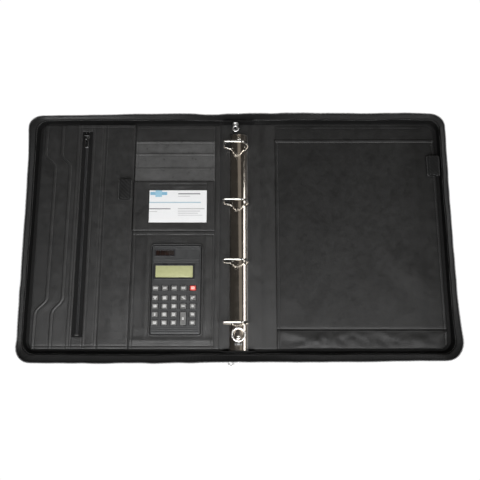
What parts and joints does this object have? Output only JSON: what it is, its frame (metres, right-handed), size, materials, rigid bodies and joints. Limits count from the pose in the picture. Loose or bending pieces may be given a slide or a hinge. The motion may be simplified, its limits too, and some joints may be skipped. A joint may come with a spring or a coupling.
{
  "type": "zip-around portfolio case",
  "caption": "Zip-around A4 portfolio case lying open flat, with ring binder spine, stitched organiser pockets, pocket calculator and a large pad pocket.",
  "frame": {"origin": "middle of the spine's outer face, midway along the ring plate's rings", "axes": "+X towards the pad-pocket cover, +Y towards the top edge of the case, +Z out of the open case; the case lies flat on its back on z = 0"},
  "size_m": [0.561, 0.3391, 0.0376],
  "materials": {
    "cover_leather": "smooth black leatherette, soft sheen",
    "panel_leather": "smooth black leatherette, stitched, soft sheen",
    "lining_leather": "smooth black leatherette",
    "gusset_leather": "soft black leatherette, creased",
    "stiffener_board": "plain grey-brown board",
    "zip_tape": "woven black tape with moulded teeth",
    "elastic": "ribbed black elastic",
    "nickel_plate": "bright nickel plating, warm reflections",
    "nickel_wire": "polished nickel plating",
    "zip_metal": "light grey plated zip metal",
    "dark_zip_metal": "black lacquered zip metal",
    "card_stock": "matt white card",
    "calculator_plastic": "fine-textured dark grey plastic",
    "display_glass": "olive liquid-crystal display under clear window",
    "solar_glass": "dark brown solar cell under clear window",
    "grey_key": "light grey moulded key",
    "red_key": "red moulded key"
  },
  "bodies": {
    "spine": {"spine_cover": "cover_leather", "spine_board": "stiffener_board", "spine_end_gussets": "gusset_leather", "mechanism_plate": "nickel_plate", "mechanism_rivets": "nickel_wire", "main_zip_sliders": "zip_metal"},
    "left_side": {"left_cover": "cover_leather", "left_board": "stiffener_board", "left_lining": "lining_leather", "left_gusset": "gusset_leather", "left_zip_chain": "zip_tape", "document_pockets": "panel_leather", "zip_pocket_panel": "panel_leather", "inner_zip_chain": "zip_tape", "card_pockets": "panel_leather", "card_window_panel": "panel_leather", "calculator_holder": "panel_leather", "left_pen_loop": "elastic"},
    "right_side": {"right_cover": "cover_leather", "right_board": "stiffener_board", "right_lining": "lining_leather", "right_gusset": "gusset_leather", "right_zip_chain": "zip_tape", "pad_pocket": "panel_leather", "right_pen_loop": "elastic"},
    "left_rings": {"left_ring_set": "nickel_wire"},
    "right_rings": {"right_ring_set": "nickel_wire"},
    "ring_trigger": {"trigger_lever": "nickel_wire"},
    "calculator": {"calculator_case": "calculator_plastic", "calculator_display": "display_glass", "calculator_solar_cell": "solar_glass"},
    "card": {"business_card": "card_stock"},
    "inner_slider": {"inner_zip_slider": "dark_zip_metal"},
    "inner_pull": {"inner_zip_pull": "dark_zip_metal"},
    "top_pull": {"top_zip_pull": "zip_metal"},
    "bottom_pull": {"bottom_zip_pull": "zip_metal"},
    "body_key_row1_col1": {"key_row1_col1": "grey_key"},
    "body_key_row1_col2": {"key_row1_col2": "grey_key"},
    "body_key_row1_col3": {"key_row1_col3": "grey_key"},
    "body_key_row1_col4": {"key_row1_col4": "grey_key"},
    "body_key_row1_col5": {"key_row1_col5": "red_key"},
    "body_key_row2_col1": {"key_row2_col1": "grey_key"},
    "body_key_row2_col2": {"key_row2_col2": "grey_key"},
    "body_key_row2_col3": {"key_row2_col3": "grey_key"},
    "body_key_row2_col4": {"key_row2_col4": "grey_key"},
    "body_key_row2_col5": {"key_row2_col5": "grey_key"},
    "body_key_row3_col1": {"key_row3_col1": "grey_key"},
    "body_key_row3_col2": {"key_row3_col2": "grey_key"},
    "body_key_row3_col3": {"key_row3_col3": "grey_key"},
    "body_key_row3_col4": {"key_row3_col4": "grey_key"},
    "body_key_row3_col5": {"key_row3_col5": "grey_key"},
    "body_key_row4_col1": {"key_row4_col1": "grey_key"},
    "body_key_row4_col2": {"key_row4_col2": "grey_key"},
    "body_key_row4_col3": {"key_row4_col3": "grey_key"},
    "body_key_row4_col4": {"key_row4_col4": "grey_key"},
    "body_key_row4_col5": {"key_row4_col5": "grey_key"},
    "body_key_row5_col1": {"key_row5_col1": "grey_key"},
    "body_key_row5_col2": {"key_row5_col2": "grey_key"},
    "body_key_row5_col3": {"key_row5_col3": "grey_key"},
    "body_key_row5_col5": {"key_row5_col5": "grey_key"}
  },
  "joints": [
    {"name": "cover_left_fold", "type": "hinge", "parent": "spine", "child": "left_side", "pos_m": [-0.0295, 0, 0.0018], "axis": [0, 1, 0], "range_deg": [0, 90]},
    {"name": "cover_right_fold", "type": "hinge", "parent": "spine", "child": "right_side", "pos_m": [0.0295, 0, 0.0018], "axis": [0, -1, 0], "range_deg": [0, 90]},
    {"name": "binder_rings_open", "type": "hinge", "parent": "spine", "child": "left_rings", "pos_m": [-0.0092, 0, 0.0047], "axis": [0, 1, 0], "range_deg": [-14, 0]},
    {"name": "binder_rings_open_right", "type": "hinge", "parent": "spine", "child": "right_rings", "pos_m": [0.0092, 0, 0.0047], "axis": [0, -1, 0], "range_deg": [-14, 0]},
    {"name": "ring_trigger_lift", "type": "hinge", "parent": "spine", "child": "ring_trigger", "pos_m": [0, -0.1465, 0.0118], "axis": [1, 0, 0], "range_deg": [0, 30]},
    {"name": "calculator_lift", "type": "slide", "parent": "left_side", "child": "calculator", "axis": [0, 0, -1], "range_m": [-0.04, 0]},
    {"name": "card_slide", "type": "slide", "parent": "left_side", "child": "card", "axis": [0, 1, 0], "range_m": [0, 0.06]},
    {"name": "inner_zip_slide", "type": "slide", "parent": "left_side", "child": "inner_slider", "axis": [0, 1, 0], "range_m": [-0.262, 0]},
    {"name": "inner_zip_pull_swing", "type": "hinge", "parent": "inner_slider", "child": "inner_pull", "pos_m": [-0.21, 0.138, 0.011], "axis": [1, 0, 0], "range_deg": [-165, 0]},
    {"name": "zip_pull_bottom_swing", "type": "hinge", "parent": "spine", "child": "bottom_pull", "pos_m": [-0.0094, -0.1634, 0.0019], "axis": [1, 0, 0], "range_deg": [-60, 0]},
    {"name": "zip_pull_top_swing", "type": "hinge", "parent": "spine", "child": "top_pull", "pos_m": [-0.0042, 0.1542, 0.0172], "axis": [1, 0, 0], "range_deg": [-150, 0]},
    {"name": "press_key_row1_col1", "type": "slide", "parent": "calculator", "child": "body_key_row1_col1", "axis": [0, 0, -1], "range_m": [0, 0.0009], "stiffness_N_per_m": 200},
    {"name": "press_key_row1_col2", "type": "slide", "parent": "calculator", "child": "body_key_row1_col2", "axis": [0, 0, -1], "range_m": [0, 0.0009], "stiffness_N_per_m": 200},
    {"name": "press_key_row1_col3", "type": "slide", "parent": "calculator", "child": "body_key_row1_col3", "axis": [0, 0, -1], "range_m": [0, 0.0009], "stiffness_N_per_m": 200},
    {"name": "press_key_row1_col4", "type": "slide", "parent": "calculator", "child": "body_key_row1_col4", "axis": [0, 0, -1], "range_m": [0, 0.0009], "stiffness_N_per_m": 200},
    {"name": "press_key_row1_col5", "type": "slide", "parent": "calculator", "child": "body_key_row1_col5", "axis": [0, 0, -1], "range_m": [0, 0.0009], "stiffness_N_per_m": 200},
    {"name": "press_key_row2_col1", "type": "slide", "parent": "calculator", "child": "body_key_row2_col1", "axis": [0, 0, -1], "range_m": [0, 0.0009], "stiffness_N_per_m": 200},
    {"name": "press_key_row2_col2", "type": "slide", "parent": "calculator", "child": "body_key_row2_col2", "axis": [0, 0, -1], "range_m": [0, 0.0009], "stiffness_N_per_m": 200},
    {"name": "press_key_row2_col3", "type": "slide", "parent": "calculator", "child": "body_key_row2_col3", "axis": [0, 0, -1], "range_m": [0, 0.0009], "stiffness_N_per_m": 200},
    {"name": "press_key_row2_col4", "type": "slide", "parent": "calculator", "child": "body_key_row2_col4", "axis": [0, 0, -1], "range_m": [0, 0.0009], "stiffness_N_per_m": 200},
    {"name": "press_key_row2_col5", "type": "slide", "parent": "calculator", "child": "body_key_row2_col5", "axis": [0, 0, -1], "range_m": [0, 0.0009], "stiffness_N_per_m": 200},
    {"name": "press_key_row3_col1", "type": "slide", "parent": "calculator", "child": "body_key_row3_col1", "axis": [0, 0, -1], "range_m": [0, 0.0009], "stiffness_N_per_m": 200},
    {"name": "press_key_row3_col2", "type": "slide", "parent": "calculator", "child": "body_key_row3_col2", "axis": [0, 0, -1], "range_m": [0, 0.0009], "stiffness_N_per_m": 200},
    {"name": "press_key_row3_col3", "type": "slide", "parent": "calculator", "child": "body_key_row3_col3", "axis": [0, 0, -1], "range_m": [0, 0.0009], "stiffness_N_per_m": 200},
    {"name": "press_key_row3_col4", "type": "slide", "parent": "calculator", "child": "body_key_row3_col4", "axis": [0, 0, -1], "range_m": [0, 0.0009], "stiffness_N_per_m": 200},
    {"name": "press_key_row3_col5", "type": "slide", "parent": "calculator", "child": "body_key_row3_col5", "axis": [0, 0, -1], "range_m": [0, 0.0009], "stiffness_N_per_m": 200},
    {"name": "press_key_row4_col1", "type": "slide", "parent": "calculator", "child": "body_key_row4_col1", "axis": [0, 0, -1], "range_m": [0, 0.0009], "stiffness_N_per_m": 200},
    {"name": "press_key_row4_col2", "type": "slide", "parent": "calculator", "child": "body_key_row4_col2", "axis": [0, 0, -1], "range_m": [0, 0.0009], "stiffness_N_per_m": 200},
    {"name": "press_key_row4_col3", "type": "slide", "parent": "calculator", "child": "body_key_row4_col3", "axis": [0, 0, -1], "range_m": [0, 0.0009], "stiffness_N_per_m": 200},
    {"name": "press_key_row4_col4", "type": "slide", "parent": "calculator", "child": "body_key_row4_col4", "axis": [0, 0, -1], "range_m": [0, 0.0009], "stiffness_N_per_m": 200},
    {"name": "press_key_row4_col5", "type": "slide", "parent": "calculator", "child": "body_key_row4_col5", "axis": [0, 0, -1], "range_m": [0, 0.0009], "stiffness_N_per_m": 200},
    {"name": "press_key_row5_col1", "type": "slide", "parent": "calculator", "child": "body_key_row5_col1", "axis": [0, 0, -1], "range_m": [0, 0.0009], "stiffness_N_per_m": 200},
    {"name": "press_key_row5_col2", "type": "slide", "parent": "calculator", "child": "body_key_row5_col2", "axis": [0, 0, -1], "range_m": [0, 0.0009], "stiffness_N_per_m": 200},
    {"name": "press_key_row5_col3", "type": "slide", "parent": "calculator", "child": "body_key_row5_col3", "axis": [0, 0, -1], "range_m": [0, 0.0009], "stiffness_N_per_m": 200},
    {"name": "press_key_row5_col5", "type": "slide", "parent": "calculator", "child": "body_key_row5_col5", "axis": [0, 0, -1], "range_m": [0, 0.0009], "stiffness_N_per_m": 200}
  ],
  "couplings": [
    {"joint": "binder_rings_open_right", "follows": "binder_rings_open", "ratio": 1},
    {"joint": "ring_trigger_lift", "follows": "binder_rings_open", "ratio": -2}
  ]
}
